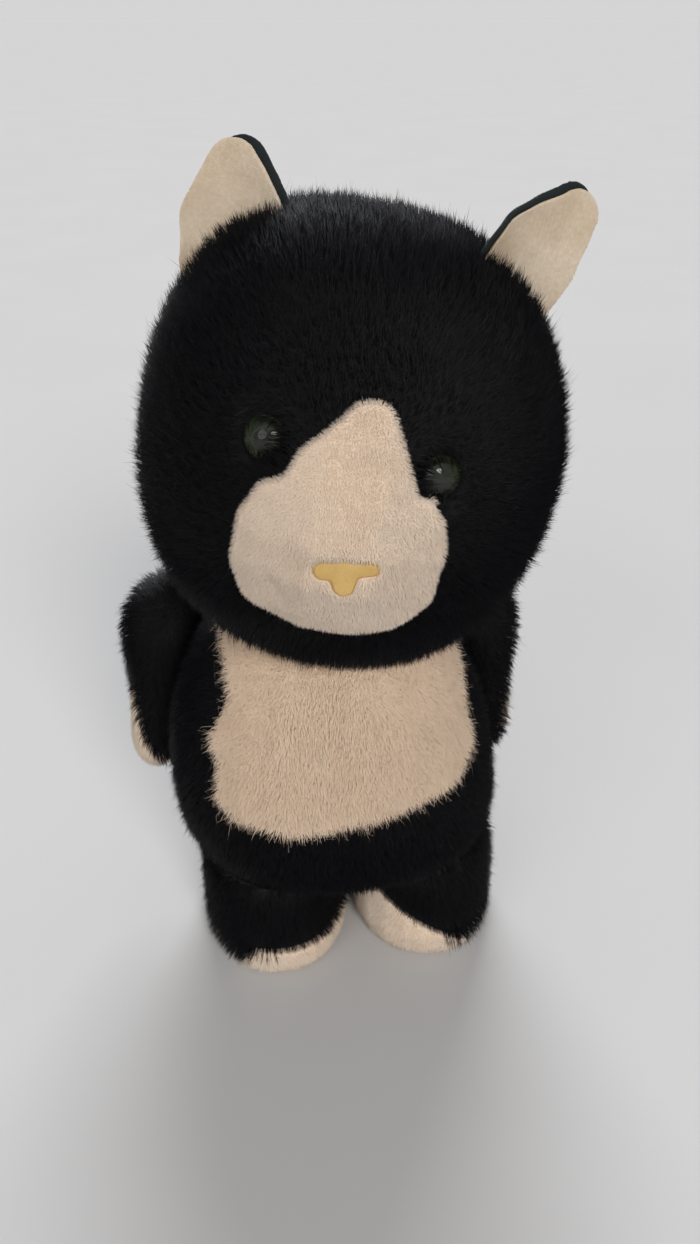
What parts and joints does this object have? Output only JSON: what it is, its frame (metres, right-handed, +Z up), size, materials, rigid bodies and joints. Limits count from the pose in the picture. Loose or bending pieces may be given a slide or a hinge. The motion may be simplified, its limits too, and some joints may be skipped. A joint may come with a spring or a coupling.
{
  "type": "plush cat",
  "caption": "Standing plush cat with a round head, cupped cloth ears, cream blaze and chest, and a head and arms that turn on hardboard disc joints.",
  "frame": {"origin": "on the floor, under the middle of the whole cat's bounding box", "axes": "+Z up, the body faces -Y, the cat's own left is +X"},
  "size_m": [0.1484, 0.1501, 0.2857],
  "materials": {
    "black_plush": "long silky pile",
    "chest_plush": "long cream pile",
    "muzzle_plush": "sheared cream pile",
    "sole_plush": "short cream pile",
    "ear_cloth": "fine brushed weave",
    "ear_back_cloth": "dark brushed weave",
    "stuffing": "loose fibre",
    "sole_card": "matte",
    "hardboard": "smooth on one side",
    "steel": "bright zinc",
    "eye_lens": "polished dome",
    "eye_iris": "olive green",
    "eye_black": "black",
    "nose_plastic": "moulded ochre"
  },
  "bodies": {
    "torso": {"torso_skin": "black_plush", "chest_panel": "chest_plush", "torso_stuffing": "stuffing", "tail_skin": "black_plush", "tail_stuffing": "stuffing", "leg_skin_left": "black_plush", "leg_skin_right": "black_plush", "sole_left": "sole_plush", "sole_right": "sole_plush", "sole_card_left": "sole_card", "sole_card_right": "sole_card", "leg_stuffing_left": "stuffing", "leg_stuffing_right": "stuffing", "neck_torso_disc": "hardboard", "neck_pin": "steel", "shoulder_torso_disc_left": "hardboard", "shoulder_torso_disc_right": "hardboard", "shoulder_pin_left": "steel", "shoulder_pin_right": "steel"},
    "head": {"head_skin": "black_plush", "muzzle_panel": "muzzle_plush", "head_stuffing": "stuffing", "ear_front_left": "ear_cloth", "ear_front_right": "ear_cloth", "ear_back_left": "ear_back_cloth", "ear_back_right": "ear_back_cloth", "eye_lens_left": "eye_lens", "eye_lens_right": "eye_lens", "eye_iris_left": "eye_iris", "eye_iris_right": "eye_iris", "eye_pupil_left": "eye_black", "eye_pupil_right": "eye_black", "eye_stem_left": "eye_black", "eye_stem_right": "eye_black", "eye_washer_left": "steel", "eye_washer_right": "steel", "nose": "nose_plastic", "nose_washer": "steel", "neck_head_disc": "hardboard"},
    "arm_left": {"arm_skin_left": "black_plush", "paw_pad_left": "sole_plush", "arm_stuffing_left": "stuffing", "shoulder_arm_disc_left": "hardboard"},
    "arm_right": {"arm_skin_right": "black_plush", "paw_pad_right": "sole_plush", "arm_stuffing_right": "stuffing", "shoulder_arm_disc_right": "hardboard"}
  },
  "joints": [
    {"name": "neck_turn", "type": "hinge", "parent": "torso", "child": "head", "pos_m": [-0.00319, -0.0047, 0.139], "axis": [0.1736, 0, 0.9848], "continuous": true},
    {"name": "shoulder_left", "type": "hinge", "parent": "torso", "child": "arm_left", "pos_m": [0.04239, 0.01691, 0.116], "axis": [-0.9158, -0.37, -0.1564], "range_deg": [-60, 105]},
    {"name": "shoulder_right", "type": "hinge", "parent": "torso", "child": "arm_right", "pos_m": [-0.04189, 0.0228, 0.116], "axis": [-0.8501, 0.4908, 0.1908], "range_deg": [-60, 105]}
  ]
}
